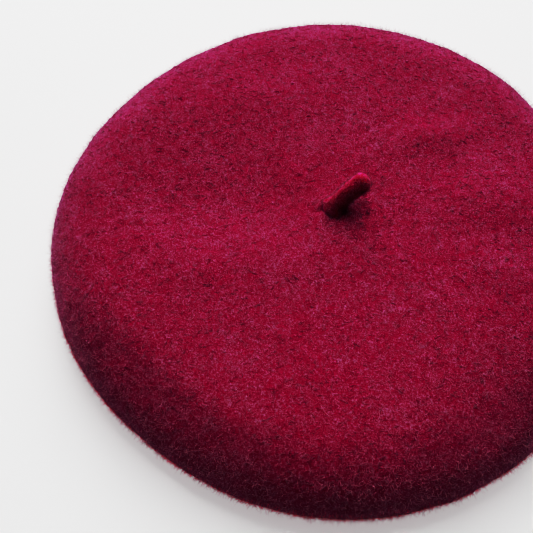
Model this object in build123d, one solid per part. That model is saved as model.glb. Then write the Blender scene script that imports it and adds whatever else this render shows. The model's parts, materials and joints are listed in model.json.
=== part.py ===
from build123d import *
import math
import os

# Wool felt beret lying crown up on a flat surface.
# Millimetres. +Z is up, the origin is on the surface below the middle of the crown,
# and +Y points to the back of the hat, where the band is joined.

# felt body
body_radius = 140.0
felt_thickness = 2.4
rim_radius = 17.5
shoulder_radius = 38.0
crown_edge_slope = 1.6
shoulder_end_slope = 35.0
underside_slope = 4.0
lip_bend_radius = 4.0
lip_top_z = 15.0

# sweatband, with its top edge rolled outwards round an elastic cord
band_inner_radius = 89.2
band_thickness = 1.1
band_bottom_z = 1.5
roll_outer_radius = 2.3
roll_z = 22.5
fold_bottom_z = 16.8
band_to_lip_gap = 0.2
elastic_radius = 1.05

# stalk, hinged where it leaves the crown
stalk_radius = 4.5
stalk_tip_radius = 4.2
stalk_length = 16.0
stalk_lean = 61.0
stalk_azimuth = 22.0
stalk_pivot_rise = 5.0
root_stem_radius = 3.3
root_hole_radius = 3.4
root_flange_radius = 8.0
root_flange_thickness = 1.6
seat_gap = 0.1

# thread
thread_radius = 0.12
thread_lift = 0.03
row_pitch = 5.0
row_stitch_length = 3.2
edge_row_z = 5.5
channel_row_z = 18.5
back_stitch_count = 5
back_stitch_length = 2.6
back_stitch_slant = 35.0
back_stitch_first_z = 7.5
back_stitch_pitch = 2.2
root_stitch_count = 8
root_stitch_radius = 0.2
root_stitch_ring = 6.0

# ribbon bow on top of the band's back
bow_y = 92.0
bow_bottom_z = 25.0
ribbon_width = 4.5
ribbon_thickness = 0.5
knot_width = 4.0
knot_depth = 4.2
loop_half_length = 5.6
loop_half_depth = 1.7
tail_length = 11.0
tail_width = 4.0
tail_splay = 25.0

# labels tucked behind the band: width, length, thickness and place round the hat
label_hinge_radius = 93.7
label_hinge_z = 3.5
label_bead_radius = 0.35
care_label_size = (30.0, 25.0, 0.4)
care_label_azimuth = 118.0
size_label_size = (12.0, 16.0, 0.6)
size_label_azimuth = 68.0

BACK = 90.0


def polar(radius, degrees):
    return Vector(radius * math.cos(math.radians(degrees)), radius * math.sin(math.radians(degrees)))


# Centres of the arcs that make the felt's section, each tangent to the next.
band_outer_radius = band_inner_radius + band_thickness
lip_radius = band_outer_radius + band_to_lip_gap
underside_normal = underside_slope - 90.0
bend_centre = Vector(lip_radius + lip_bend_radius, lip_bend_radius)
rim_x = body_radius - rim_radius
rim_drop = (rim_x - bend_centre.X) * math.cos(math.radians(underside_normal))
rim_centre = Vector(
    rim_x,
    bend_centre.Y + (rim_radius - lip_bend_radius + rim_drop) / math.cos(math.radians(underside_slope)),
)
shoulder_centre = rim_centre - polar(shoulder_radius - rim_radius, BACK - shoulder_end_slope)
crown_radius = shoulder_radius + shoulder_centre.X / math.sin(math.radians(crown_edge_slope))
crown_centre = shoulder_centre - polar(crown_radius - shoulder_radius, BACK - crown_edge_slope)
crown_z = crown_centre.Y + crown_radius


def felt_line(depth):
    """The edges of the felt's surface, or of one that lies below it by depth, from the axis to the lip."""
    crown = CenterArc(crown_centre, crown_radius - depth, BACK, -crown_edge_slope)
    shoulder = CenterArc(
        shoulder_centre,
        shoulder_radius - depth,
        BACK - crown_edge_slope,
        crown_edge_slope - shoulder_end_slope,
    )
    rim_turn = underside_normal - (BACK - shoulder_end_slope)
    rim = CenterArc(rim_centre, rim_radius - depth, BACK - shoulder_end_slope, rim_turn)
    bend = CenterArc(bend_centre, lip_bend_radius - depth, underside_normal, -180.0 - underside_normal)
    underside = Line(rim @ 1, bend @ 0)
    lip = Line(bend @ 1, Vector(lip_radius + depth, lip_top_z))
    return [crown, shoulder, rim, underside, bend, lip]


def turned(face):
    """A section drawn with X as radius and Y as height, turned about the hat's axis."""
    return revolve(Plane.XZ * face, Axis.Z)


def make_felt_halves():
    """The seamless felt shell, held as two nodes that meet at the rim's widest circle."""
    outside = felt_line(0.0)
    inside = felt_line(felt_thickness)
    axis_end = Line(inside[0] @ 0, outside[0] @ 0)
    lip_end = ThreePointArc(
        outside[-1] @ 1,
        (lip_radius + felt_thickness / 2, lip_top_z + felt_thickness / 2),
        inside[-1] @ 1,
    )
    shell = turned(make_face(Curve() + outside + inside + [axis_end, lip_end]))
    shell -= Pos(Z=crown_z) * Cylinder(root_hole_radius, 4 * felt_thickness)
    widest = Plane.XY.offset(rim_centre.Y)
    return split(shell, widest, Keep.TOP), split(shell, widest, Keep.BOTTOM)


def make_stalk_root():
    underneath = crown_z - felt_thickness - seat_gap
    stem = Pos(Z=underneath) * Cylinder(
        root_stem_radius, felt_thickness, align=(Align.CENTER, Align.CENTER, Align.MIN)
    )
    flange = Pos(Z=underneath) * Cylinder(
        root_flange_radius, root_flange_thickness, align=(Align.CENTER, Align.CENTER, Align.MAX)
    )
    return stem + fillet(flange.edges().group_by(Axis.Z)[0], root_flange_thickness / 2)


def make_stalk():
    """Two balls with a cone between them that touches both."""
    taper = math.degrees(math.asin((stalk_radius - stalk_tip_radius) / stalk_length))
    base = CenterArc((0, 0), stalk_radius, -BACK, BACK + taper)
    tip = CenterArc((0, stalk_length), stalk_tip_radius, taper, BACK - taper)
    side = Line(base @ 1, tip @ 0)
    axis = Line(tip @ 1, base @ 0)
    upright = revolve(Plane.XZ * make_face(Curve() + [base, side, tip, axis]), Axis.Z)
    return Pos(Z=crown_z + stalk_pivot_rise) * Rot(Z=stalk_azimuth) * Rot(Y=stalk_lean) * upright


def make_sweatband():
    strip = Pos(band_inner_radius, band_bottom_z) * Rectangle(
        band_thickness, roll_z - band_bottom_z, align=(Align.MIN, Align.MIN)
    )
    fold = Pos(band_outer_radius, fold_bottom_z) * Rectangle(
        band_thickness, roll_z - fold_bottom_z, align=(Align.MIN, Align.MIN)
    )
    roll = Pos(band_inner_radius + roll_outer_radius, roll_z) * Circle(roll_outer_radius)
    channel = Pos(band_inner_radius + roll_outer_radius, roll_z) * Circle(roll_outer_radius - band_thickness)
    return turned(strip + fold + roll - channel)


def make_elastic_cord():
    return turned(Pos(band_inner_radius + roll_outer_radius, roll_z) * Circle(elastic_radius))


def capsule(radius, length):
    """A round-ended rod along Z, centred on the origin."""
    half = length / 2 - radius
    return Cylinder(radius, 2 * half) + Pos(Z=half) * Sphere(radius) + Pos(Z=-half) * Sphere(radius)


def stitch_on_band(azimuth, height, length, slant):
    thread = capsule(thread_radius, length)
    centre_radius = band_inner_radius - thread_lift - thread_radius
    return Rot(Z=azimuth) * Pos(centre_radius, 0, height) * Rot(X=BACK + slant) * thread


def make_stitch_row(height):
    count = round(2 * math.pi * band_inner_radius / row_pitch)
    step = 360.0 / count
    row = [stitch_on_band(step * (i + 0.5), height, row_stitch_length, 0.0) for i in range(count)]
    return Compound(row)


def make_back_stitches():
    return Compound(
        [
            stitch_on_band(
                BACK,
                back_stitch_first_z + i * back_stitch_pitch,
                back_stitch_length,
                back_stitch_slant * (-1) ** i,
            )
            for i in range(back_stitch_count)
        ]
    )


def make_stalk_stitches():
    """Stitches that lie across the edge of the root's flange, on its underside."""
    underside_z = crown_z - felt_thickness - seat_gap - root_flange_thickness
    height = underside_z - thread_lift - root_stitch_radius
    thread = Pos(root_stitch_ring, 0, height) * Rot(Y=BACK) * capsule(root_stitch_radius, row_stitch_length)
    return Compound([Rot(Z=i * 360.0 / root_stitch_count) * thread for i in range(root_stitch_count)])


def make_bow_knot():
    knot = Box(knot_width, knot_depth, ribbon_width + 2 * ribbon_thickness)
    middle_z = bow_bottom_z + ribbon_width / 2 + ribbon_thickness
    return Pos(0, bow_y, middle_z) * fillet(knot.edges(), ribbon_thickness * 1.5)


def make_bow_loops():
    ring = Ellipse(loop_half_length, loop_half_depth) - Ellipse(
        loop_half_length - ribbon_thickness, loop_half_depth - ribbon_thickness
    )
    ribbon = extrude(ring, ribbon_width)
    reach = knot_width / 2 + seat_gap + loop_half_length
    return Compound(
        [Pos(side * reach, bow_y - knot_depth / 8, bow_bottom_z + ribbon_thickness) * ribbon for side in (-1, 1)]
    )


def make_bow_tails():
    """Two ribbon ends that hang down behind the band's roll."""
    tail = Box(tail_width, ribbon_thickness, tail_length, align=(Align.CENTER, Align.MIN, Align.MAX))
    top = (bow_y + knot_depth / 2 + seat_gap, bow_bottom_z + ribbon_width)
    return Compound(
        [Pos(side * tail_width * 0.75, *top) * Rot(Y=-side * tail_splay) * tail for side in (-1, 1)]
    )


def make_label(size, azimuth):
    """A flap that lies on the felt behind the band, with a bead along its sewn edge."""
    width, length, thickness = size
    flap = Box(length, width, thickness, align=(Align.MIN, Align.CENTER, Align.CENTER))
    bead = Rot(X=BACK) * Cylinder(label_bead_radius, width)
    hinge = Rot(Z=azimuth) * Pos(label_hinge_radius, 0, label_hinge_z)
    return hinge * Rot(Y=-underside_slope) * (flap + bead)


felt_crown, felt_underside = make_felt_halves()
parts = {
    "felt_crown": felt_crown,
    "felt_underside": felt_underside,
    "stalk_root": make_stalk_root(),
    "stalk": make_stalk(),
    "stalk_stitches": make_stalk_stitches(),
    "sweatband": make_sweatband(),
    "elastic_cord": make_elastic_cord(),
    "edge_stitches": make_stitch_row(edge_row_z),
    "channel_stitches": make_stitch_row(channel_row_z),
    "back_stitches": make_back_stitches(),
    "bow_knot": make_bow_knot(),
    "bow_loops": make_bow_loops(),
    "bow_tails": make_bow_tails(),
    "care_label": make_label(care_label_size, care_label_azimuth),
    "size_label": make_label(size_label_size, size_label_azimuth),
}

os.makedirs("parts", exist_ok=True)
for name, shape in parts.items():
    export_step(shape, f"parts/{name}.step")

print(f"crown z {crown_z:.3f}, rim z {rim_centre.Y:.3f}, stalk pivot z {crown_z + stalk_pivot_rise:.3f}")
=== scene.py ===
import json
import math
from functools import partial

import bpy
import numpy as np
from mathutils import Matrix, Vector


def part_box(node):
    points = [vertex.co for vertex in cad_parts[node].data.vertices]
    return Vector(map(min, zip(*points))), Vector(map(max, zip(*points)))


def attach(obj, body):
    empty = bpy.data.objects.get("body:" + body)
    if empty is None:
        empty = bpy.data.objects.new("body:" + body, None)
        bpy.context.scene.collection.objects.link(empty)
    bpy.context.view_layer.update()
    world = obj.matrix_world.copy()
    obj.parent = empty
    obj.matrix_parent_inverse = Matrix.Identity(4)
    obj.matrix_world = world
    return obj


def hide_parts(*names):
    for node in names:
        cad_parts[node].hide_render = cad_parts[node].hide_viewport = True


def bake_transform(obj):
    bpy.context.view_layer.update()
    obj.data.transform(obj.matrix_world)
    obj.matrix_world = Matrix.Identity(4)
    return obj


# A fuzzy wool felt beret lying crown up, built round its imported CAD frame. Metres, +Z up, +Y to the back.

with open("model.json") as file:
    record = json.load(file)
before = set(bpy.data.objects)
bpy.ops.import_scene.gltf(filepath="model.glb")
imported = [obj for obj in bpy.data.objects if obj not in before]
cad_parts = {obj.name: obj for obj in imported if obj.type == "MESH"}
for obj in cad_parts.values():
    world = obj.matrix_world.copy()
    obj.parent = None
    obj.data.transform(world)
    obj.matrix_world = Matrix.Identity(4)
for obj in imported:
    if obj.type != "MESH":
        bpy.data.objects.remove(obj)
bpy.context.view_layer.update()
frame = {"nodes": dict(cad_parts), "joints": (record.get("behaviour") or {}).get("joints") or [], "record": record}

MM = 0.001
BODY_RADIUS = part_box("felt_crown")[1].x
CROWN_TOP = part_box("felt_crown")[1].z
RIM_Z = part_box("felt_crown")[0].z
OPENING = frame["record"]["mounts"][0]["dims"]["r_mm"] * MM
JOINTS = {joint["name"]: joint for joint in frame["joints"]}

# the felt's section, as in the CAD part: its thickness, arcs, slopes and lip
FELT_THICKNESS = 2.4 * MM
RIM_ARC = 17.5 * MM
SHOULDER_ARC = 38.0 * MM
CROWN_SLOPE = math.radians(1.6)
SHOULDER_SLOPE = math.radians(35.0)
UNDERSIDE_SLOPE = math.radians(4.0)
BEND_ARC = 4.0 * MM
LIP_RADIUS = OPENING + 1.3 * MM
LIP_HEIGHT = 15.0 * MM

COLUMNS = 480
FINE_STEP = 0.8 * MM
FINE_REACH = 18 * MM
# waves that put the rim slightly out of round: how many round the hat, cosine part and sine part
OUTLINE = ((2, -1.75 * MM, 0.7 * MM), (3, -1.95 * MM, -0.2 * MM))


# ---- small tools

def new_mesh(name, points, faces):
    """A smooth mesh object from an array of points and a list of arrays of faces with equal corner counts."""
    mesh = bpy.data.meshes.new(name)
    corners = np.concatenate([f.ravel() for f in faces]).astype(np.int32)
    sizes = np.concatenate([np.full(len(f), f.shape[1]) for f in faces])
    starts = np.concatenate([[0], np.cumsum(sizes)[:-1]]).astype(np.int32)
    mesh.vertices.add(len(points))
    mesh.vertices.foreach_set("co", np.asarray(points, np.float32).ravel())
    mesh.loops.add(len(corners))
    mesh.loops.foreach_set("vertex_index", corners)
    mesh.polygons.add(len(sizes))
    mesh.polygons.foreach_set("loop_start", starts)
    mesh.update(calc_edges=True)
    mesh.validate()
    mesh.polygons.foreach_set("use_smooth", np.full(len(mesh.polygons), True))
    piece = bpy.data.objects.new(name, mesh)
    bpy.context.scene.collection.objects.link(piece)
    return piece


def smoothstep(low, high, value):
    share = np.clip((value - low) / (high - low), 0, 1)
    return share * share * (3 - 2 * share)


def waves(points, shortest, longest, height, count, seed):
    """A soft random field: a sum of sine waves in random directions."""
    draw = np.random.default_rng(seed)
    field = np.zeros(len(points))
    for _ in range(count):
        direction = draw.normal(size=3)
        direction /= np.linalg.norm(direction)
        turns = 2 * math.pi / draw.uniform(shortest, longest)
        field += np.sin(points @ direction * turns + draw.uniform(0, 2 * math.pi))
    return field * height / math.sqrt(count)


def unit(vectors):
    """Vectors of length one with the same directions. The last axis holds x, y and z."""
    return vectors / np.linalg.norm(vectors, axis=-1, keepdims=True)


def polar(radius, degrees):
    return radius * np.array([math.cos(math.radians(degrees)), math.sin(math.radians(degrees))])


def tube_faces(rows, columns):
    """Quads between rows of points that each close round on themselves."""
    row, column = np.meshgrid(np.arange(rows - 1), np.arange(columns), indexing="ij")
    a = row * columns + column
    b = row * columns + (column + 1) % columns
    return np.stack([a, b, b + columns, a + columns], -1).reshape(-1, 4)


def fan_faces(pole, ring_start, columns, flip):
    """Triangles that close a ring of points at a pole."""
    column = np.arange(columns)
    a = ring_start + column
    b = ring_start + (column + 1) % columns
    middle = np.full(columns, pole)
    return np.stack([middle, b, a] if flip else [middle, a, b], -1)


# ---- felt body

def felt_centres():
    """Centres of the section's arcs as (radius, height), each tangent to the next."""
    bend = np.array([LIP_RADIUS + BEND_ARC, BEND_ARC])
    rim = np.array([BODY_RADIUS - RIM_ARC, RIM_Z])
    shoulder = rim - (SHOULDER_ARC - RIM_ARC) * np.array([math.sin(SHOULDER_SLOPE), math.cos(SHOULDER_SLOPE)])
    crown_arc = SHOULDER_ARC + shoulder[0] / math.sin(CROWN_SLOPE)
    crown = np.array([0.0, CROWN_TOP - crown_arc])
    return crown, crown_arc, shoulder, rim, bend


def arc_rows(centre, radius, start, end, step, depth):
    """Rows on an arc: radius, height and outward direction. Angles are from the radius towards the height."""
    count = max(2, math.ceil(radius * abs(end - start) / step))
    angle = np.linspace(start, end, count, endpoint=False)
    out = np.stack([np.cos(angle), np.sin(angle)], -1)
    return np.hstack([centre + out * (radius - depth), out])


def line_rows(start, end, out, step):
    count = max(2, math.ceil(np.linalg.norm(end - start) / step))
    share = np.linspace(0, 1, count, endpoint=False)[:, None]
    return np.hstack([start + (end - start) * share, np.tile(out, (count, 1))])


def section_rows(depth, step):
    """The felt's surface, or one depth below it, from the axis to the lip. Rows are finer near the stalk."""
    crown, crown_arc, shoulder, rim, bend = felt_centres()
    quarter = math.pi / 2
    edge = shoulder[0] + SHOULDER_ARC * math.sin(CROWN_SLOPE)
    near = np.arange(FINE_STEP, FINE_REACH, FINE_STEP)
    far = np.linspace(FINE_REACH, edge, int((edge - FINE_REACH) / step), endpoint=False)
    slope = np.arcsin(np.concatenate([near, far]) / crown_arc)
    out = np.stack([np.sin(slope), np.cos(slope)], -1)
    crown_rows = np.hstack([crown + out * (crown_arc - depth), out])
    under = -quarter + UNDERSIDE_SLOPE
    under_out = np.array([math.cos(under), math.sin(under)])
    bend_start = bend + under_out * (BEND_ARC - depth)
    lip_out = np.array([-1.0, 0.0])
    lip_start = bend + lip_out * (BEND_ARC - depth)
    lip_end = np.array([LIP_RADIUS + depth, LIP_HEIGHT])
    return np.vstack([
        crown_rows,
        arc_rows(shoulder, SHOULDER_ARC, quarter - CROWN_SLOPE, quarter - SHOULDER_SLOPE, step, depth),
        arc_rows(rim, RIM_ARC, quarter - SHOULDER_SLOPE, under, step, depth),
        line_rows(rim + under_out * (RIM_ARC - depth), bend_start, under_out, step),
        arc_rows(bend, BEND_ARC, under, -2 * quarter, step * 0.5, depth),
        line_rows(lip_start, lip_end, lip_out, step),
    ])


# soft rises and dents of the crown, in millimetres: x, y, half-length, half-width, turn in degrees, rise
CROWN_SHAPES = (
    (0, 0, 8, 8, 0, 1.5),
    (-52, 2, 60, 23, -3, -3.0),
    (-40, 70, 56, 22, 10, 2.0),
    (-62, -33, 40, 12, 2, 0.8),
    (62, 45, 27, 11, 15, 1.7),
    (51, 46, 14, 9, 10, 1.2),
    (74, 2, 30, 19, 0, 3.3),
    (76, -34, 24, 14, -10, 2.0),
    (86, 50, 22, 16, 0, -1.2),
    (62, -62, 34, 26, -35, 1.2),
    (-10, -48, 46, 30, 0, -1.2),
    (-80, -100, 58, 18, -42, -3.2),
    (67, -104, 46, 17, 33, -3.0),
    (10, -122, 50, 18, 4, -1.2),
)
# creases that run out from the stalk's root, in millimetres: start and end as radius and degrees,
# half-width, depth
ROOT_CREASES = (
    (3, 190, 11, 196, 1.5, 1.3),
    (5, 300, 11, 285, 1.1, 0.8),
    (5, 95, 12, 105, 1.2, 0.7),
)


def crown_rise(points):
    """How far the crown's surface stands out of, or sinks below, its plain dome."""
    spots = points[:, :2] / MM
    rise = np.zeros(len(points))
    for centre_x, centre_y, length, width, degrees, height in CROWN_SHAPES:
        turn = math.radians(degrees)
        x, y = spots[:, 0] - centre_x, spots[:, 1] - centre_y
        along = x * math.cos(turn) + y * math.sin(turn)
        across = y * math.cos(turn) - x * math.sin(turn)
        rise += height * np.exp(-((along / length) ** 2) - (across / width) ** 2)
    for near, near_turn, far, far_turn, width, depth in ROOT_CREASES:
        start, end = polar(near, near_turn), polar(far, far_turn)
        share = np.clip(((spots - start) @ (end - start)) / ((end - start) @ (end - start)), 0, 1)
        gap = np.linalg.norm(spots - start - share[:, None] * (end - start), axis=1)
        rise -= depth * (1 - share) ** 0.7 * np.exp(-((gap / width) ** 2))
    return rise * MM


# uneven felt: shortest and longest wave, height, how many waves and the seed
RIPPLES = (
    (70 * MM, 150 * MM, 0.55 * MM, 14, 3),
    (18 * MM, 40 * MM, 0.16 * MM, 18, 4),
    (5 * MM, 10 * MM, 0.08 * MM, 24, 5),
)
GRAIN = (4 * MM, 7 * MM, 0.05 * MM, 24, 6)


def felt_moves(points, outward):
    """The real felt's departures from the turned section, as a move for each point."""
    radius = np.hypot(points[:, 0], points[:, 1])
    turn = np.arctan2(points[:, 1], points[:, 0])
    upper = smoothstep(RIM_Z - 4 * MM, RIM_Z + 12 * MM, points[:, 2])
    free = np.maximum(upper, smoothstep(LIP_RADIUS + 6 * MM, LIP_RADIUS + 30 * MM, radius))
    rise = crown_rise(points) * upper
    rise += free * sum(waves(points, *ripple) for ripple in RIPPLES)
    rise += waves(points, *GRAIN)
    moves = outward * rise[:, None]
    swell = sum(c * np.cos(n * turn) + s * np.sin(n * turn) for n, c, s in OUTLINE)
    swell = swell * smoothstep(LIP_RADIUS + 4 * MM, BODY_RADIUS - 4 * MM, radius)
    moves[:, 0] += swell * np.cos(turn)
    moves[:, 1] += swell * np.sin(turn)
    return moves


def turn_rows(rows, columns):
    """Turns rows of (radius, height, out radius, out height) about the axis into points and directions."""
    angle = np.arange(columns) * 2 * math.pi / columns
    c, s = np.cos(angle), np.sin(angle)
    radius, height, out_r, out_z = (rows[:, i][:, None] for i in range(4))
    points = np.stack([radius * c, radius * s, np.broadcast_to(height, (len(rows), columns))], -1)
    outward = np.stack([out_r * c, out_r * s, np.broadcast_to(out_z, (len(rows), columns))], -1)
    return points.reshape(-1, 3), outward.reshape(-1, 3)


def make_felt():
    """The whole shell as one closed mesh. Also returns its outside as a grid whose columns run clockwise."""
    outside = section_rows(0.0, 2.2 * MM)
    inside = section_rows(FELT_THICKNESS, 5.5 * MM)[::-1]
    half = FELT_THICKNESS / 2
    lip = [
        (LIP_RADIUS + half - half * math.cos(a), LIP_HEIGHT + half * math.sin(a), -math.cos(a), math.sin(a))
        for a in (0.0, math.pi / 3, 2 * math.pi / 3, math.pi)
    ]
    rows = np.vstack([outside, lip, inside])
    points, outward = turn_rows(rows, COLUMNS)
    poles = np.array([[0, 0, CROWN_TOP], [0, 0, CROWN_TOP - FELT_THICKNESS]])
    points = np.vstack([points, poles])
    outward = np.vstack([outward, [[0, 0, 1], [0, 0, 1]]])
    points = points + felt_moves(points, outward)
    points[:, 2] = np.maximum(points[:, 2], 0.05 * MM)
    first_pole = len(rows) * COLUMNS
    felt = new_mesh("beret_felt", points, [
        tube_faces(len(rows), COLUMNS)[:, ::-1],
        fan_faces(first_pole, 0, COLUMNS, False),
        fan_faces(first_pole + 1, (len(rows) - 1) * COLUMNS, COLUMNS, True),
    ])
    return felt, points[: len(outside) * COLUMNS].reshape(len(outside), COLUMNS, 3)[:, ::-1]


# ---- stalk

STALK = JOINTS["stalk_lean"]
PIVOT = Vector(STALK["pos_m"])
STALK_RIPPLES = ((6 * MM, 14 * MM, 0.22 * MM, 16, 11), (2.5 * MM, 5 * MM, 0.10 * MM, 24, 12))


def stalk_line():
    """The stalk's direction and the distance from its pivot to its tip, from the CAD node's own points."""
    corners = np.array([v.co for v in frame["nodes"]["stalk"].data.vertices])
    mean = corners.mean(0) - np.array(PIVOT)
    axis = np.array(STALK["axis"])
    mean -= axis * (mean @ axis)
    direction = mean / np.linalg.norm(mean)
    return Vector(direction), float(((corners - np.array(PIVOT)) @ direction).max())


STALK_DIRECTION, STALK_REACH = stalk_line()


def make_stalk():
    """A soft nub that grows out of the crown and leans over: a tube along a curve, closed at both ends."""
    rows, columns = 64, 72
    radius = 4.3 * MM
    foot_swell, foot_length = 2.6 * MM, 2.4 * MM
    tip_swell, tip_length = 0.35 * MM, 5 * MM
    lean = Vector((STALK_DIRECTION.x, STALK_DIRECTION.y, 0)).normalized()
    root = Vector((0, 0, CROWN_TOP - 2.0 * MM)) + lean * 1.5 * MM
    tip = PIVOT + STALK_DIRECTION * (STALK_REACH - radius)
    knee = Vector((0, 0, CROWN_TOP + 3.2 * MM)) + lean * 3.0 * MM
    controls = [root, knee, PIVOT + STALK_DIRECTION * (STALK_REACH * 0.42), tip]
    share = np.linspace(0, 1, rows)
    weights = np.stack([
        (1 - share) ** 3, 3 * share * (1 - share) ** 2, 3 * share ** 2 * (1 - share), share ** 3,
    ], -1)
    line = weights @ np.array([list(c) for c in controls])
    tangent = unit(np.gradient(line, axis=0))
    side = np.array(STALK["axis"])
    up = np.cross(tangent, side)
    travelled = np.concatenate([[0], np.cumsum(np.linalg.norm(np.diff(line, axis=0), axis=1))])
    thickness = radius + foot_swell * np.exp(-((travelled / foot_length) ** 2))
    thickness += tip_swell * np.exp(-(((travelled - travelled[-1]) / tip_length) ** 2))
    cap = np.linspace(0, 1, 11)[1:-1] * math.pi / 2
    cap_line = line[-1] + tangent[-1] * np.sin(cap)[:, None] * radius
    line = np.vstack([line, cap_line])
    tangent = np.vstack([tangent, np.tile(tangent[-1], (len(cap), 1))])
    up = np.vstack([up, np.tile(up[-1], (len(cap), 1))])
    thickness = np.concatenate([thickness, thickness[-1] * np.cos(cap) ** 0.8])
    angle = np.arange(columns) * 2 * math.pi / columns
    ring = np.cos(angle)[None, :, None] * side + np.sin(angle)[None, :, None] * up[:, None, :]
    points = line[:, None, :] + ring * thickness[:, None, None]
    grid = points.reshape(-1, 3)
    outward = ring.reshape(-1, 3)
    grid = grid + outward * sum(waves(grid, *ripple) for ripple in STALK_RIPPLES)[:, None]
    ends = np.vstack([line[0], line[-1] + tangent[-1] * radius * 0.03])
    total = len(line)
    stalk = new_mesh("stalk_nub", np.vstack([grid, ends]), [
        tube_faces(total, columns),
        fan_faces(total * columns, 0, columns, True),
        fan_faces(total * columns + 1, (total - 1) * columns, columns, False),
    ])
    return stalk, grid.reshape(total, columns, 3)


# ---- sweatband and elastic

BAND_THICKNESS = 1.1 * MM
BAND_BOTTOM = 1.5 * MM
ROLL_ARC = 2.3 * MM
ROLL_RADIUS = OPENING + ROLL_ARC
ROLL_HEIGHT = 22.5 * MM
FOLD_BOTTOM = 16.8 * MM
EDGE_ROW = 5.5 * MM
CHANNEL_ROW = 18.5 * MM
GATHER_DEPTH = 0.35 * MM
PUCKER_DEPTH = 0.08 * MM
ROLL_PUCKER_DEPTH = 0.16 * MM
BACK_TURN = math.pi / 2


def arc_points(centre, radius, start, end, count):
    angle = np.radians(np.linspace(start, end, count))
    return np.array(centre) + radius * np.stack([np.cos(angle), np.sin(angle)], -1)


def loop_rows(loop):
    """Adds outward directions to a closed section that runs clockwise as (radius, height)."""
    along = unit(np.roll(loop, -1, axis=0) - np.roll(loop, 1, axis=0))
    return np.hstack([loop, np.stack([-along[:, 1], along[:, 0]], -1)])


def ring_faces(rows, columns, first=0):
    """Quads of a surface that closes on itself both ways."""
    row, column = np.meshgrid(np.arange(rows), np.arange(columns), indexing="ij")
    a = first + row * columns + column
    b = first + row * columns + (column + 1) % columns
    c = first + (row + 1) % rows * columns + (column + 1) % columns
    d = first + (row + 1) % rows * columns + column
    return np.stack([a, d, c, b], -1).reshape(-1, 4)


def gathers(turn, waves_round, seed):
    """Uneven folds round the band, from 0 to 1."""
    draw = np.random.default_rng(seed)
    fold = np.zeros_like(turn)
    for _ in range(10):
        fold += np.sin(turn * draw.integers(*waves_round) + draw.uniform(0, 2 * math.pi))
    return 0.5 + 0.5 * np.tanh(fold / 2.2)


def make_sweatband():
    """A strip whose top edge rolls outwards over the elastic's channel and is sewn down behind itself."""
    columns = 900
    outer = OPENING + BAND_THICKNESS
    fold = outer + BAND_THICKNESS
    soft = 0.45 * MM
    height = np.linspace(BAND_BOTTOM + soft, ROLL_HEIGHT, 22, endpoint=False)
    back_height = np.linspace(FOLD_BOTTOM, BAND_BOTTOM + soft, 14)
    loop = np.vstack([
        np.stack([np.full_like(height, OPENING), height], -1),
        arc_points((ROLL_RADIUS, ROLL_HEIGHT), ROLL_ARC, 180, -88, 26),
        np.stack([np.full(4, fold), np.linspace(ROLL_HEIGHT - 2.6 * MM, FOLD_BOTTOM + soft, 4)], -1),
        arc_points((fold - soft, FOLD_BOTTOM + soft), soft, -15, -80, 4),
        np.stack([np.full_like(back_height, outer), back_height], -1),
        arc_points((outer - soft, BAND_BOTTOM + soft), soft, -20, -90, 4),
        arc_points((OPENING + soft, BAND_BOTTOM + soft), soft, -90, -160, 4),
    ])
    points, outward = turn_rows(loop_rows(loop), columns)
    turn = np.arctan2(points[:, 1], points[:, 0])
    high = smoothstep(11 * MM, 21 * MM, points[:, 2])
    wave = gathers(turn, (46, 96), 31)
    fine = gathers(turn, (120, 190), 32)
    groove = 0.8 * MM
    shift = high * (GATHER_DEPTH * wave + PUCKER_DEPTH * fine)
    shift += 0.18 * MM * np.exp(-(((turn - BACK_TURN) * OPENING / groove) ** 2))
    shift += 0.10 * MM * np.exp(-(((points[:, 2] - CHANNEL_ROW) / groove) ** 2))
    points[:, 0] += shift * np.cos(turn)
    points[:, 1] += shift * np.sin(turn)
    points -= outward * (ROLL_PUCKER_DEPTH * smoothstep(20 * MM, 23 * MM, points[:, 2]) * fine)[:, None]
    sides = 24
    inside = arc_points((ROLL_RADIUS, ROLL_HEIGHT), ROLL_ARC - BAND_THICKNESS, 360, 360 / sides, sides)
    channel, _ = turn_rows(loop_rows(inside), columns)
    return new_mesh("sweatband_leather", np.vstack([points, channel]), [
        ring_faces(len(loop), columns),
        ring_faces(sides, columns, len(points))[:, ::-1],
    ])


def make_elastic():
    """The elastic's round braid, made of strands that cross over and under."""
    columns, rows = 1600, 20
    strands, twists = 4, 200
    section = loop_rows(arc_points((ROLL_RADIUS, ROLL_HEIGHT), 0.95 * MM, 360, 360 / rows, rows))
    points, outward = turn_rows(section, columns)
    turn = np.arctan2(points[:, 1], points[:, 0])
    around = np.repeat(np.arange(rows) * 2 * math.pi / rows, columns)
    one = np.cos(strands * around + twists * turn)
    other = np.cos(strands * around - twists * turn)
    points += outward * (0.09 * MM * np.maximum(one, other))[:, None]
    return new_mesh("elastic_braid", points, [ring_faces(rows, columns)])


# ---- stitches

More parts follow.
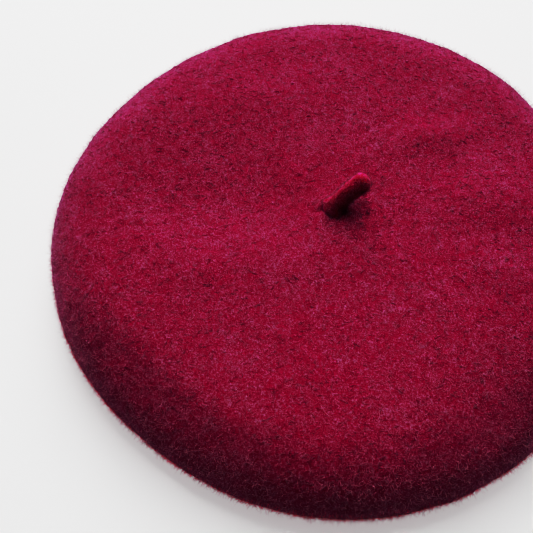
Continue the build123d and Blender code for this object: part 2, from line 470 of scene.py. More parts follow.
def make_stitches(name, centres, alongs, outs, length, ply, lift):
    """Stitches of two twisted plies whose ends sink in. Each has a centre, a direction and a way out."""
    steps, sides = 15, 6
    share = np.linspace(-1, 1, steps)
    across = np.cross(alongs, outs)
    bow = lift * (1 - np.abs(share) ** 3) - 2.2 * ply * np.abs(share) ** 6
    line = (
        centres[:, None]
        + alongs[:, None] * (share * length / 2)[None, :, None]
        + outs[:, None] * bow[None, :, None]
    )
    points, faces = [], []
    ring = np.arange(sides) * 2 * math.pi / sides
    size = np.where(np.abs(share) > 0.98, 0.35, 1.0) * ply
    count = len(centres)
    for k in range(2):
        twist = share * 2.2 * math.pi + k * math.pi
        middle = line + 0.85 * ply * (
            np.cos(twist)[None, :, None] * across[:, None] + np.sin(twist)[None, :, None] * outs[:, None]
        )
        rings = middle[:, :, None] + size[None, :, None, None] * (
            np.cos(ring)[None, None, :, None] * across[:, None, None]
            + np.sin(ring)[None, None, :, None] * outs[:, None, None]
        )
        ends = middle[:, [0, -1]]
        block = np.concatenate([rings.reshape(count, -1, 3), ends], axis=1)
        first = k * count * block.shape[1] + (np.arange(count) * block.shape[1])[:, None, None]
        faces.append((first + tube_faces(steps, sides)).reshape(-1, 4))
        last = (steps - 1) * sides
        caps = np.vstack([
            fan_faces(steps * sides, 0, sides, True),
            fan_faces(steps * sides + 1, last, sides, False),
        ])
        faces.append((first + caps).reshape(-1, 3))
        points.append(block.reshape(-1, 3))
    return new_mesh(name, np.vstack(points), [faces[0], faces[2], faces[1], faces[3]])


def band_stitches(name, turns, heights, slants, length):
    """Stitches on the band's inner face, each turned by its slant from level."""
    out = np.stack([-np.cos(turns), -np.sin(turns), np.zeros_like(turns)], -1)
    level = np.stack([-np.sin(turns), np.cos(turns), np.zeros_like(turns)], -1)
    up = np.array([0.0, 0.0, 1.0])
    along = level * np.cos(slants)[:, None] + up * np.sin(slants)[:, None]
    centres = -out * OPENING + up * np.asarray(heights)[:, None]
    return make_stitches(name, centres, along, out, length, 0.10 * MM, 0.08 * MM)


def stitch_row(name, height):
    """A level row of stitches right round the band."""
    count = round(2 * math.pi * OPENING / (5 * MM))
    turns = (np.arange(count) + 0.5) * 2 * math.pi / count
    return band_stitches(name, turns, np.full(count, height), np.zeros(count), 3.2 * MM)


def back_stitches():
    """A zigzag up the band's joint."""
    step = np.arange(5)
    slants = np.radians(35.0) * (-1.0) ** step
    return band_stitches("back_stitching", np.full(5, BACK_TURN), (7.5 + 2.2 * step) * MM, slants, 2.6 * MM)


def root_stitches():
    """Stitches that lie across the edge of the stalk's foot, inside the crown."""
    turns = np.arange(8) * math.pi / 4
    radial = np.stack([np.cos(turns), np.sin(turns), np.zeros(8)], -1)
    centres = radial * 6 * MM + np.array([0, 0, CROWN_TOP - FELT_THICKNESS - 1.7 * MM])
    down = np.tile([0.0, 0.0, -1.0], (8, 1))
    return make_stitches("stalk_stitching", centres, radial, down, 3.2 * MM, 0.14 * MM, 0.14 * MM)


# ---- rosette inside the crown

def make_rosette():
    """The stalk's felt foot, sewn to the inside of the crown."""
    columns = 120
    thickness = 1.6 * MM
    top = CROWN_TOP - FELT_THICKNESS - 0.1 * MM
    bottom = top - thickness
    radii = np.linspace(0.4, 7.3, 14) * MM
    loop = np.vstack([
        np.stack([radii, np.full_like(radii, bottom)], -1),
        arc_points((7.2 * MM, (top + bottom) / 2), thickness / 2, -80, 80, 9),
        np.stack([radii[::-1], np.full_like(radii, top)], -1),
    ])
    angle = np.arange(columns) * 2 * math.pi / columns
    ruffle = 1 + 0.035 * np.sin(3 * angle + 0.7) + 0.02 * np.sin(7 * angle + 2.0) + 0.012 * np.sin(13 * angle)
    share = smoothstep(2 * MM, 8 * MM, loop[:, 0])[:, None]
    radius = loop[:, :1] * (1 + (ruffle - 1) * share)
    dimples = 0.35 * MM * np.exp(-(((loop[:, :1] - 6 * MM) / (1.6 * MM)) ** 2)) * np.cos(4 * angle) ** 16
    height = loop[:, 1:] + np.where(loop[:, 1:] < (top + bottom) / 2, dimples, 0)
    points = np.stack([radius * np.cos(angle), radius * np.sin(angle), height], -1).reshape(-1, 3)
    poles = np.array([[0, 0, bottom], [0, 0, top]])
    total = len(loop) * columns
    return new_mesh("stalk_rosette", np.vstack([points, poles]), [
        tube_faces(len(loop), columns),
        fan_faces(total, 0, columns, True),
        fan_faces(total + 1, total - columns, columns, False),
    ])


# ---- ribbon bow and labels

def strip_faces(rows, spots):
    """Quads of rows that run along a strip's top and back along its underside, with both ends closed."""
    columns = 2 * spots
    row = np.arange(spots - 1)
    start = np.stack([row, row + 1, columns - 2 - row, columns - 1 - row], -1)
    return np.vstack([tube_faces(rows, columns), start, start[:, ::-1] + (rows - 1) * columns])


def make_strip(name, line, across, width, thickness, rib_pitch=0.0, rib_height=0.0, cut=None):
    """A flat strip along a line. across is its width's direction, and cut lengthens its end unevenly."""
    along = unit(np.gradient(line, axis=0))
    face = unit(np.cross(along, across))
    travelled = np.concatenate([[0], np.cumsum(np.linalg.norm(np.diff(line, axis=0), axis=1))])
    rib = rib_height * np.cos(travelled * 2 * math.pi / rib_pitch) if rib_pitch else np.zeros(len(line))
    spots = 11
    place = np.linspace(-1, 1, spots)
    soft = np.sqrt(np.clip(1 - np.abs(place) ** 8, 0.15, 1))
    widths = np.broadcast_to(width, len(line))
    upper = place[None, :, None] * across[:, None] * widths[:, None, None] / 2
    depth = (thickness / 2 + rib)[:, None] * soft[None]
    top = line[:, None] + upper + face[:, None] * depth[:, :, None]
    under = (line[:, None] + upper - face[:, None] * depth[:, :, None])[:, ::-1]
    rings = np.concatenate([top, under], axis=1)
    if cut is not None:
        near_end = smoothstep(travelled[-1] * 0.6, travelled[-1], travelled)
        reach = cut(np.concatenate([place, place[::-1]]))
        rings = rings + along[:, None] * (near_end[:, None] * reach[None])[:, :, None]
    return new_mesh(name, rings.reshape(-1, 3), [strip_faces(len(line), spots)[:, ::-1]])


BOW_PLACE = np.array([0.0, 92.0 * MM, 27.75 * MM])
RIBBON_WIDTH = 4.5 * MM
RIBBON_THICKNESS = 0.4 * MM
RIB_PITCH = 0.5 * MM
RIB_HEIGHT = 0.045 * MM
TAIL_SPLAY = 25


def make_bow_loop(name, side, reach, droop):
    """One loop: a drop shape that is pinched where the knot holds it."""
    turn = np.linspace(0.12, 2 * math.pi - 0.12, 230)
    x = side * (1.4 * MM + reach * (1 - np.cos(turn)) / 2)
    y = -0.5 * MM + 1.5 * MM * np.sin(turn) * (1 - np.cos(turn)) / 1.3
    share = np.abs(x) / (13 * MM)
    z = -droop * share**2
    across = unit(np.stack([0.10 * side * share, 0.12 * np.sin(turn) * share, np.ones_like(x)], -1))
    width = RIBBON_WIDTH * (0.72 + 0.28 * smoothstep(1.0 * MM, 6 * MM, np.abs(x)))
    line = np.stack([x, y, z], -1) + BOW_PLACE
    return make_strip(name, line, across, width, RIBBON_THICKNESS, RIB_PITCH, RIB_HEIGHT)


def make_bow_tail(name, side, length):
    """One ribbon end that hangs down behind the band's roll, with a notch cut in it."""
    share = np.linspace(0, 1, 150)
    splay = math.radians(TAIL_SPLAY)
    x = side * (1.6 * MM + share * length * math.sin(splay) + 1.2 * MM * np.sin(share * math.pi / 2))
    y = 2.3 * MM + 0.25 * MM * np.sin(share * 5.0 + side)
    z = 1.6 * MM - share * length * math.cos(splay)
    across = unit(np.stack([
        np.full_like(x, math.cos(splay)),
        0.1 * np.sin(share * 3),
        np.full_like(x, side * math.sin(splay)),
    ], -1))
    width = 4.0 * MM * (0.7 + 0.3 * smoothstep(0, 0.35, share))
    line = np.stack([x, y, z], -1) + BOW_PLACE
    return make_strip(
        name, line, across, width, RIBBON_THICKNESS, RIB_PITCH, RIB_HEIGHT,
        cut=lambda place: 1.3 * MM * np.abs(place) - 0.9 * MM,
    )


def make_bow_knot():
    """The ribbon wound once round the middle of the bow, with its ribs running along it."""
    rows, columns = 40, 220
    share = np.linspace(-1, 1, rows)
    turn = np.arange(columns) * 2 * math.pi / columns
    squareness = (np.abs(np.cos(turn)) ** 4 + np.abs(np.sin(turn)) ** 4) ** -0.25
    profile = (1 - np.abs(share) ** 10) ** 0.5 * 0.12 + 0.88 - 0.05 * np.exp(-((share / 0.4) ** 2))
    crease = 0.03 * np.exp(-(((share[:, None] - 0.35 * np.sin(turn)[None]) / 0.12) ** 2))
    ribs = 0.02 * np.cos(32 * turn)
    size = profile[:, None] * squareness[None] * (1 - crease + ribs[None])
    x = np.broadcast_to((share * 1.85 * MM)[:, None], size.shape)
    y = 2.0 * MM * size * np.cos(turn)
    z = 2.6 * MM * size * np.sin(turn)
    points = (np.stack([x, y, z], -1) + BOW_PLACE).reshape(-1, 3)
    ends = np.array([[-1.8 * MM, 0, 0], [1.8 * MM, 0, 0]]) + BOW_PLACE
    total = rows * columns
    return new_mesh("bow_knot_ribbon", np.vstack([points, ends]), [
        tube_faces(rows, columns),
        fan_faces(total, 0, columns, True),
        fan_faces(total + 1, total - columns, columns, False),
    ])


def label_frame(joint):
    """The label's hinge point and its directions: out from the hinge, along its width, up off the felt."""
    place = np.array(joint["pos_m"])
    outward = np.array([place[0], place[1], 0.0]) / math.hypot(place[0], place[1])
    out = outward * math.cos(UNDERSIDE_SLOPE) + np.array([0, 0, math.sin(UNDERSIDE_SLOPE)])
    side = np.array([-outward[1], outward[0], 0.0])
    return place, out, side, np.cross(out, side)


def make_care_label():
    """One layer of satin, thicker at its hems and sewn edge, with corners that have begun to curl."""
    place, out, side, up = label_frame(JOINTS["care_label_flip"])
    width, length, thickness = 30 * MM, 25 * MM, 0.3 * MM
    rows, spots = 60, 61
    along = np.linspace(0, 1, rows)
    over = np.linspace(-1, 1, spots)
    curl = 0.9 * MM * along[:, None] ** 2 * np.abs(over)[None] ** 3 + 0.5 * MM * along[:, None] ** 3
    curl += 0.12 * MM * np.sin(along * 7)[:, None] * np.cos(over * 4)[None]
    sheet = (
        place
        + out * (along * length)[:, None, None]
        + side * (over * width / 2)[None, :, None]
        + up * curl[:, :, None]
    )
    hems = 0.45 * np.exp(-(((1 - np.abs(over)) / 0.035) ** 2))[None]
    sewn_edge = 0.5 * np.exp(-((along / 0.02) ** 2))[:, None]
    half = (thickness / 2 * (1 + hems + sewn_edge))[:, :, None] * up
    rings = np.concatenate([sheet + half, (sheet - half)[:, ::-1]], axis=1)
    return new_mesh("care_label_satin", rings.reshape(-1, 3), [strip_faces(rows, spots)])


def make_size_label():
    """A short satin tape folded in half, with both its ends in the seam."""
    place, out, side, up = label_frame(JOINTS["size_label_flip"])
    length, gap = 15.6 * MM, 0.16 * MM
    bend = np.linspace(math.pi / 2, -math.pi / 2, 13)
    flat = np.linspace(0, 1, 40)
    reach = np.concatenate([flat * length, length + gap * np.cos(bend[1:-1]), flat[::-1] * length])
    height = np.concatenate([np.full(40, gap), gap * np.sin(bend[1:-1]), np.full(40, -gap)])
    height = height + 0.5 * MM * (reach / length) ** 2
    line = place + reach[:, None] * out + height[:, None] * up
    return make_strip("size_label_satin", line, np.tile(side, (len(line), 1)), 12 * MM, 0.25 * MM)


# ---- nap fibres

def sites_on(grid, count, draw, weight=None):
    """Random places on a grid whose columns close round clockwise, by area: positions and outward normals."""
    after = np.roll(grid, -1, axis=1)
    a, b, c, d = grid[:-1], after[:-1], after[1:], grid[1:]
    normal = np.cross(c - a, d - b).reshape(-1, 3)
    size = np.linalg.norm(normal, axis=1)
    normal /= size[:, None]
    middle = ((a + b + c + d) / 4).reshape(-1, 3)
    chance = size if weight is None else size * weight(middle, normal)
    pick = draw.choice(len(size), count, p=chance / chance.sum())
    u, v = draw.random((2, count, 1))
    a, b, c, d = (g.reshape(-1, 3)[pick] for g in (a, b, c, d))
    place = (a * (1 - u) + b * u) * (1 - v) + (d * (1 - u) + c * u) * v
    return place, normal[pick]


def make_fibres(name, places, normals, lengths, thickness, lifts, curl, draw, material):
    """Fine fibres, pointed at both ends. lifts are the slopes of each fibre's stretches off the surface."""
    count, steps = len(places), lifts.shape[1]
    away = draw.normal(size=(count, 3))
    flat = unit(away - normals * (away * normals).sum(1)[:, None])
    across = np.cross(normals, flat)
    turn = draw.normal(0, curl, (count, 1)) + draw.normal(0, curl * 0.5, (count, steps))
    heading = np.cumsum(turn, axis=1)[:, :, None]
    slope = lifts[:, :, None]
    level = np.cos(heading) * flat[:, None] + np.sin(heading) * across[:, None]
    direction = np.cos(slope) * level + np.sin(slope) * normals[:, None]
    stretch = lengths[:, None, None] / steps
    line = places[:, None] + np.concatenate(
        [np.zeros((count, 1, 3)), np.cumsum(direction * stretch, axis=1)], axis=1
    )
    line -= normals[:, None] * thickness
    line[:, :, 2] = np.maximum(line[:, :, 2], thickness)
    inner = line[:, 1:-1]
    along = unit(line[:, 2:] - line[:, :-2])
    side = unit(np.cross(along, np.roll(along, 1, axis=2) + normals[:, None] * 0.5))
    top = np.cross(side, along)
    angle = np.arange(3) * 2 * math.pi / 3
    ring = np.cos(angle)[:, None] * side[:, :, None] + np.sin(angle)[:, None] * top[:, :, None]
    rings = inner[:, :, None] + ring * thickness / 2
    points = np.concatenate([line[:, :1], rings.reshape(count, -1, 3), line[:, -1:]], axis=1)
    per = points.shape[1]
    corner = np.arange(3)
    following = (corner + 1) % 3
    tris = [np.stack([np.zeros(3, int), 1 + following, 1 + corner], -1)]
    last = 1 + 3 * (steps - 2)
    tris.append(np.stack([np.full(3, per - 1), last + corner, last + following], -1))
    quads = [
        np.stack([1 + 3 * k + corner, 1 + 3 * k + following, 4 + 3 * k + following, 4 + 3 * k + corner], -1)
        for k in range(steps - 2)
    ]
    offset = (np.arange(count) * per)[:, None, None]
    piece = new_mesh(name, points.reshape(-1, 3), [
        (offset + np.vstack(tris)).reshape(-1, 3),
        (offset + np.vstack(quads)).reshape(-1, 4),
    ])
    piece.data.materials.append(material)
    return piece


def lying(count, draw):
    """Slopes of a fibre that arches up and comes back down to the surface."""
    rise = draw.uniform(0.03, 0.30, count)
    return np.stack([rise, draw.uniform(-0.1, 0.1, count), -rise * 0.9], -1)


def standing(count, draw):
    """Slopes of a fibre that stands off the surface and curls."""
    rise = draw.uniform(0.2, 1.3, (count, 1))
    return rise + draw.normal(0, 0.35, (count, 4))


def clear_of_band(middle, normal):
    """Keeps fibres off the lip and its bend, where they would stand through the sweatband."""
    radius = np.hypot(middle[:, 0], middle[:, 1])
    return np.where(middle[:, 2] > RIM_Z, 1.0, smoothstep(LIP_RADIUS + 3.5 * MM, LIP_RADIUS + 6 * MM, radius))


def near_rim(middle, normal):
    return smoothstep(124 * MM, 134 * MM, np.hypot(middle[:, 0], middle[:, 1]))


# where the fibres with painted glow grow: round the rim's underside
def under_rim(middle, normal):
    tilt = normal[:, 2]
    return near_rim(middle, normal) * smoothstep(0.45, 0.0, tilt) * smoothstep(-0.95, -0.7, tilt)


# kinds of fibre: shortest, longest, thickness, slopes, curl and where they grow
LYING = (2.0 * MM, 5.0 * MM, 0.15 * MM, lying, 0.55, clear_of_band)
STANDING = (1.5 * MM, 3.6 * MM, 0.06 * MM, standing, 0.5, clear_of_band)
ON_STALK = (1.0 * MM, 2.6 * MM, 0.08 * MM, standing, 0.5, None)
# name, colour, count and kind
FELT_NAP = (
    ("lying_deep", "deep", 3500, *LYING),
    ("lying_mid", "mid", 16000, *LYING),
    ("lying_bright", "bright", 16000, *LYING),
    ("standing_mid", "mid", 8000, *STANDING),
    ("standing_bright", "bright", 11000, *STANDING),
    # standing_pale: pale fibres whose colour is partly painted highlights of the nap
    ("standing_pale", "pale", 10000, *STANDING),
    # painted light: the fibres under the rim are painted a glowing crimson for the floor's light shining up
    # through the fuzz
    ("rim_glow", "lit", 10800, 1.0 * MM, 2.6 * MM, 0.09 * MM, standing, 0.6, under_rim),
    ("rim_shine", "lit", 10800, 1.0 * MM, 2.0 * MM, 0.09 * MM, standing, 0.6, under_rim),
    # rim_bright and rim_pale crowd the rim with fuzz: real fuzz, painted with the pale sheen seen at the hat's
    # edge
    ("rim_bright", "bright", 10800, 1.0 * MM, 4.4 * MM, 0.06 * MM, standing, 0.6, near_rim),
    ("rim_pale", "pale", 10800, 1.0 * MM, 4.4 * MM, 0.08 * MM, standing, 0.6, near_rim),
)
STALK_NAP = (
    ("stalk_mid", "mid", 900, *ON_STALK),
    ("stalk_bright", "bright", 1100, *ON_STALK),
)
# loose hairs that lie on the crown, in millimetres: x, y and length
LOOSE_HAIRS = (
    (-21, -89, 6), (-6, -106, 7), (15, -107, 5), (41, -74, 5), (-29, -126, 13),
    (-70, -60, 6), (62, -30, 5), (10, 62, 5), (-90, 12, 6), (55, 84, 6),
)


def grow_nap(grid, draw, name, key, count, shortest, longest, thickness, slopes, curl, chance):
    """Fibres of one colour and kind, sown at random over a grid."""
    places, normals = sites_on(grid, count, draw, chance)
    lengths = draw.uniform(shortest, longest, count)
    lifts = slopes(count, draw)
    return make_fibres("nap_" + name, places, normals, lengths, thickness, lifts, curl, draw, NAP[key])


def grow_loose_hairs(grid, draw):
    """Single pale hairs, each on the crown's point nearest to its listed place."""
    crown_rows, steps = 75, 9
    crown = grid[:crown_rows].reshape(-1, 3)
    hairs = np.array(LOOSE_HAIRS) * MM
    nearest = [np.argmin(np.hypot(crown[:, 0] - x, crown[:, 1] - y)) for x, y, _ in hairs]
    upright = np.tile([0.0, 0.0, 1.0], (len(hairs), 1))
    places = crown[nearest] + upright * 0.2 * MM
    lifts = np.linspace(0.35, -0.15, steps) + draw.normal(0, 0.15, (len(hairs), steps))
    return make_fibres(
        "nap_loose_hairs", places, upright, hairs[:, 2], 0.11 * MM, lifts, 0.30, draw, NAP["pale"]
    )


# ---- materials

def new_material(name, **sockets):
    material = bpy.data.materials.new(name)
    material.use_nodes = True
    shader = material.node_tree.nodes["Principled BSDF"]
    for socket, value in sockets.items():
        shader.inputs[socket.replace("_", " ")].default_value = value
    return material


def add_node(owner, kind, **values):
    """A node in a material or a world, with its properties and, by name, its inputs set."""
    node = owner.node_tree.nodes.new(kind)
    for key, value in values.items():
        if hasattr(node, key):
            setattr(node, key, value)
        else:
            node.inputs[key.replace("_", " ")].default_value = value
    return node


def map_range(owner, source, low, high, to_low, to_high, kind="SMOOTHSTEP"):
    node = add_node(
        owner, "ShaderNodeMapRange", interpolation_type=kind,
        From_Min=low, From_Max=high, To_Min=to_low, To_Max=to_high,
    )
    owner.node_tree.links.new(source, node.inputs["Value"])
    return node.outputs["Result"]


def maths(material, kind, *values):
    """A maths node that works on numbers or on other nodes' outputs."""
    node = add_node(material, "ShaderNodeMath", operation=kind)
    for socket, value in zip(node.inputs, values):
        if isinstance(value, float):
            socket.default_value = value
        else:
            material.node_tree.links.new(value, socket)
    return node.outputs[0]


def texture(material, kind, place, **values):
    node = add_node(material, kind, **values)
    material.node_tree.links.new(place, node.inputs["Vector"])
    return node


def object_place(material):
    return add_node(material, "ShaderNodeTexCoord").outputs["Object"]


def paint(material, tone, *stops):
    """Colours the material by a tone that runs through (position, colour) stops."""
    ramp = add_node(material, "ShaderNodeValToRGB")
    for _ in stops[2:]:
        ramp.color_ramp.elements.new(0.5)
    for stop, (position, colour) in zip(ramp.color_ramp.elements, stops):
        stop.position = position
        stop.color = (*colour, 1.0)
    link = material.node_tree.links.new
    link(tone, ramp.inputs["Fac"])
    link(ramp.outputs["Color"], material.node_tree.nodes["Principled BSDF"].inputs["Base Color"])


def add_bump(material, height, strength, distance):
    bump = add_node(material, "ShaderNodeBump", Strength=strength, Distance=distance)
    link = material.node_tree.links.new
    link(height, bump.inputs["Height"])
    link(bump.outputs["Normal"], material.node_tree.nodes["Principled BSDF"].inputs["Normal"])


def felt_material(name, tones, sheen, **sockets):
    """Wool felt: curly fibre lines and fine grain over soft mottling, with a fine bump."""
    material = new_material(
        name, Roughness=1.0, Specular_IOR_Level=0.02, Sheen_Weight=sheen, Sheen_Roughness=0.5,
        Sheen_Tint=(1.0, 0.52, 0.92, 1.0), **sockets,
    )
    place = object_place(material)
    sum_of, product = partial(maths, material, "ADD"), partial(maths, material, "MULTIPLY")

    def noise(scale, detail, distortion, shift):
        moved = add_node(material, "ShaderNodeVectorMath", operation="ADD")
        moved.inputs[1].default_value = (shift, shift * 0.6, -shift)
        material.node_tree.links.new(place, moved.inputs[0])
        return texture(
            material, "ShaderNodeTexNoise", moved.outputs[0], Scale=scale, Detail=detail,
            Distortion=distortion, Roughness=0.55,
        ).outputs["Fac"]

    def centred(field):
        return maths(material, "SUBTRACT", field, 0.5)

    def lines(field, width):
        """Bright lines along the places where a noise passes through its middle value."""
        off = maths(material, "ABSOLUTE", centred(field))
        return map_range(material, off, 0.0, width, 1.0, 0.0)

    strands = product(lines(noise(430.0, 1.0, 1.6, 0.0), 0.07), 0.42)
    finer = product(lines(noise(800.0, 1.0, 1.2, 3.7), 0.09), noise(260.0, 1.0, 0.0, 5.3))
    grain = product(centred(noise(1350.0, 1.0, 0.3, 9.1)), 2.0)
    patches = product(centred(noise(230.0, 2.0, 0.4, 1.3)), 0.55)
    broad = product(centred(noise(40.0, 2.0, 0.0, 7.7)), 0.35)
    fine = sum_of(sum_of(strands, product(finer, 0.7)), grain)
    tone = sum_of(sum_of(sum_of(fine, patches), broad), 0.18)
    paint(material, tone, *zip((0.0, 0.42, 1.0), tones))
    add_bump(material, fine, 0.35, 0.35 * MM)
    return material


FELT = felt_material("felt_wool", ((0.22, 0.003, 0.052), (0.25, 0.014, 0.077), (0.31, 0.125, 0.200)), 0.38)
# The stalk's felt is the crown's felt painted lighter: painted light that stands in for light falling on the
# stalk. Light also scatters into it below the surface.
STALK_FELT_PAINTED_LIGHTER = felt_material(
    "felt_stalk_painted_light", ((0.28, 0.004, 0.062), (0.34, 0.011, 0.085), (0.41, 0.100, 0.190)), 0.25,
    Subsurface_Weight=1.0, Subsurface_Radius=(1.0, 0.20, 0.60), Subsurface_Scale=9 * MM,
)
NAP_COLOURS = {
    "deep": (0.205, 0.003, 0.046),
    "mid": (0.25, 0.015, 0.077),
    # bright and pale are lighter fibres whose pale pink is partly painted sheen; pale also colours the loose hairs
    "bright": (0.37, 0.170, 0.230),
    "pale": (0.66, 0.38, 0.44),
    # painted light: a glowing crimson for the fibres under the rim, in place of light from the floor
    "lit": (0.95, 0.030, 0.17),
}
NAP = {
    key: new_material(
        "nap_" + key, Base_Color=(*colour, 1.0), Roughness=1.0, Specular_IOR_Level=0.05, Sheen_Weight=0.32,
        Sheen_Tint=(1.0, 0.45, 0.95, 1.0),
    )
    for key, colour in NAP_COLOURS.items()
}


def leather_material():
    """Dark leather with a pebbled grain, and a lighter, smoother look where the roll is handled."""
    material = new_material("band_leather", Specular_IOR_Level=0.45, Coat_Weight=0.08, Coat_Roughness=0.35)
    place = object_place(material)
    pebbles = texture(
        material, "ShaderNodeTexVoronoi", place, Scale=1500.0, Randomness=1.0, feature="DISTANCE_TO_EDGE"
    )
    mottling = texture(material, "ShaderNodeTexNoise", place, Scale=140.0, Detail=5.0, Roughness=0.6)
    creases = texture(material, "ShaderNodeTexNoise", place, Scale=420.0, Detail=3.0, Distortion=1.2)
    height = texture(material, "ShaderNodeSeparateXYZ", place)
    worn = map_range(material, height.outputs["Z"], 22 * MM, 25 * MM, 0.0, 0.55)
    tone = maths(material, "ADD", mottling.outputs["Fac"], worn)
    paint(material, tone, (0.3, (0.020, 0.0065, 0.007)), (1.0, (0.115, 0.040, 0.040)))
    rough = map_range(material, tone, 0.2, 1.2, 0.62, 0.36, "LINEAR")
    material.node_tree.links.new(rough, material.node_tree.nodes["Principled BSDF"].inputs["Roughness"])
    grain = maths(material, "MULTIPLY_ADD", pebbles.outputs["Distance"], 900.0, creases.outputs["Fac"])
    add_bump(material, grain, 0.55, 0.12 * MM)
    return material


def woven_material(name, dark, light, scale, sheen, roughness, bands=None):
    """Thread, ribbon or tape: crossing bands with uneven dye. bands is the scale of a second, wider set."""
    material = new_material(
        name, Roughness=roughness, Sheen_Weight=sheen, Sheen_Roughness=0.35, Specular_IOR_Level=0.35
    )
    place = object_place(material)
    one = texture(
        material, "ShaderNodeTexWave", place, Scale=scale, Distortion=0.6, bands_direction="DIAGONAL"
    )
    other = texture(
        material, "ShaderNodeTexWave", place, Scale=bands or scale, Distortion=0.8, bands_direction="Z"
    )
    dye = texture(material, "ShaderNodeTexNoise", place, Scale=260.0, Detail=3.0)
    weave = maths(material, "MULTIPLY", one.outputs["Fac"], other.outputs["Fac"])
    unevenness = maths(material, "MULTIPLY", dye.outputs["Fac"], 0.7)
    paint(material, maths(material, "MULTIPLY_ADD", weave, 0.5, unevenness), (0.1, dark), (0.9, light))
    add_bump(material, weave, 0.35, 0.05 * MM)
    return material


LEATHER = leather_material()
THREAD = woven_material("sewing_thread", (0.10, 0.008, 0.020), (0.30, 0.045, 0.075), 1400.0, 0.3, 0.55)
ELASTIC = woven_material("elastic_yarn", (0.008, 0.008, 0.009), (0.050, 0.050, 0.054), 700.0, 0.3, 0.6)
RIBBON = woven_material("grosgrain", (0.060, 0.003, 0.010), (0.230, 0.014, 0.040), 1100.0, 0.4, 0.5, 320.0)
SATIN = woven_material("label_weave", (0.62, 0.59, 0.54), (0.84, 0.82, 0.77), 1800.0, 0.25, 0.38, 900.0)


# ---- the pieces

felt, felt_grid = make_felt()
felt.data.materials.append(FELT)
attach(felt, "hat")
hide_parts("felt_crown", "felt_underside")

stalk, stalk_grid = make_stalk()
stalk.data.materials.append(STALK_FELT_PAINTED_LIGHTER)
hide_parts("stalk")
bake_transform(stalk)

draw = np.random.default_rng(21)
for row in FELT_NAP:
    piece = grow_nap(felt_grid, draw, *row)
    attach(piece, "hat")
piece = grow_loose_hairs(felt_grid, draw)
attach(piece, "hat")
for row in STALK_NAP:
    piece = grow_nap(stalk_grid, draw, *row)
    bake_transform(piece)


def finish_piece(piece, material, slot, body, *nodes):
    """Gives a piece its material and body, and hides the CAD nodes that it replaces. slot is not used."""
    piece.data.materials.append(material)
    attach(piece, body)
    if nodes:
        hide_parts(*nodes)
    return piece


finish_piece(make_sweatband(), LEATHER, "band_leather", "hat", "sweatband")
finish_piece(make_elastic(), ELASTIC, "elastic", "hat", "elastic_cord")
finish_piece(stitch_row("edge_stitching", EDGE_ROW), THREAD, "thread", "hat", "edge_stitches")
finish_piece(stitch_row("channel_stitching", CHANNEL_ROW), THREAD, "thread", "hat", "channel_stitches")
finish_piece(back_stitches(), THREAD, "thread", "hat", "back_stitches")
finish_piece(make_rosette(), FELT, "felt", "hat", "stalk_root")
finish_piece(root_stitches(), THREAD, "thread", "hat", "stalk_stitches")
finish_piece(make_bow_knot(), RIBBON, "ribbon", "hat", "bow_knot")
loops = [
    make_bow_loop("bow_loop_left", -1, 11.4 * MM, 0.7 * MM),
    make_bow_loop("bow_loop_right", 1, 11.0 * MM, 1.1 * MM),
]
for piece in loops:
    finish_piece(piece, RIBBON, "ribbon", "hat")
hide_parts("bow_loops")
tails = [make_bow_tail("bow_tail_left", -1, 10.6 * MM), make_bow_tail("bow_tail_right", 1, 9.6 * MM)]
for piece in tails:
    finish_piece(piece, RIBBON, "ribbon", "hat")
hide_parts("bow_tails")
care_label = finish_piece(make_care_label(), SATIN, "label_satin", "care_label", "care_label")
size_label = finish_piece(make_size_label(), SATIN, "label_satin", "size_label", "size_label")


# ---- camera, light and floor

ELEVATION = math.radians(60.1)
DISTANCE = 402 * MM
ASIDE = (-33.3 * MM, -8.05 * MM)
TILT = math.radians(-0.2)
back = Vector((0, -math.cos(ELEVATION), math.sin(ELEVATION)))
right = Vector((1, 0, 0))
up = back.cross(right)
camera_data = bpy.data.cameras.new("camera")
camera_data.lens = 50.7
camera_data.sensor_width = 36.0
camera_data.clip_start = 0.01
camera = bpy.data.objects.new("camera", camera_data)
bpy.context.scene.collection.objects.link(camera)
camera.location = back * DISTANCE + right * ASIDE[0] + up * ASIDE[1]
camera.rotation_euler = (math.pi / 2 - ELEVATION, TILT, 0)
bpy.context.scene.camera = camera


def area_light(name, place, aim, size, power, spread=180):
    """A round soft lamp. spread, in degrees, is how far its light opens out."""
    lamp = bpy.data.lights.new(name, "AREA")
    lamp.shape = "DISK"
    lamp.size = size
    lamp.energy = power
    lamp.spread = math.radians(spread)
    holder = bpy.data.objects.new(name, lamp)
    holder.location = place
    holder.rotation_euler = (Vector(aim) - Vector(place)).to_track_quat("-Z", "Y").to_euler()
    bpy.context.scene.collection.objects.link(holder)


area_light("window", (0.0, 1.64, 1.15), (0, 0, 0), 1.4, 20.5)
area_light("ceiling", (-0.13, 0.75, 1.63), (0, 0, 0), 0.9, 6.5)
area_light("soft_pool", (-0.01, 0.10, 0.93), (-0.01, -0.055, 0.04), 0.25, 0.021, 14)


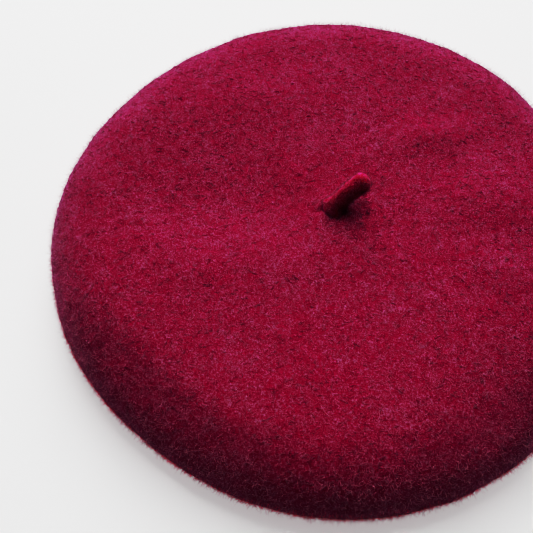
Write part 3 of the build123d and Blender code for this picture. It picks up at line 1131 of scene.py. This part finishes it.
def studio_world():
    """A sky that is bright above and behind the hat and dark in front, and pale wherever it is in view."""
    world = bpy.data.worlds.new("studio")
    bpy.context.scene.world = world
    world.use_nodes = True
    link = world.node_tree.links.new
    background = world.node_tree.nodes["Background"]
    background.inputs["Color"].default_value = (1.0, 1.0, 1.0, 1.0)
    direction = add_node(world, "ShaderNodeTexCoord")
    towards = add_node(world, "ShaderNodeVectorMath", operation="DOT_PRODUCT")
    towards.inputs[1].default_value = Vector((0, 1, 0.8)).normalized()
    link(direction.outputs["Generated"], towards.inputs[0])
    glow = map_range(world, towards.outputs["Value"], 0.1, 1.0, 0.0, 0.8)
    path = add_node(world, "ShaderNodeLightPath")
    shown = add_node(world, "ShaderNodeMix", B=0.8)
    link(path.outputs["Is Camera Ray"], shown.inputs["Factor"])
    link(glow, shown.inputs["A"])
    link(shown.outputs["Result"], background.inputs["Strength"])


# scene brightness and the picture's brightness at a few places along the tone curve
TONES = (
    (0.0, 0.0), (0.02, 0.003), (0.05, 0.012), (0.09, 0.034), (0.14, 0.10),
    (0.2, 0.23), (0.35, 0.52), (0.6, 0.76), (1.0, 0.92),
)


def camera_tones():
    """A camera's usual contrast: darker shadows and a soft shoulder before white."""
    settings = bpy.context.scene.view_settings
    settings.view_transform = "Standard"
    settings.use_curve_mapping = True
    curve = settings.curve_mapping.curves[3]
    curve.points[0].location = TONES[0]
    curve.points[1].location = TONES[-1]
    for scene_tone, picture_tone in TONES[1:-1]:
        curve.points.new(scene_tone, picture_tone)
    settings.curve_mapping.update()


def make_floor():
    """A pale matt surface under the hat, far wider than any view."""
    reach = 30.0
    corners = [(-reach, -reach, 0), (reach, -reach, 0), (reach, reach, 0), (-reach, reach, 0)]
    floor = new_mesh("floor", corners, [np.array([[0, 1, 2, 3]])])
    floor.data.materials.append(
        new_material(
            "floor_glass", Base_Color=(0.64, 0.64, 0.64, 1.0), Roughness=0.7,
            Emission_Color=(1.0, 1.0, 1.0, 1.0), Emission_Strength=0.25,
        )
    )
    return floor


studio_world()
camera_tones()
make_floor()
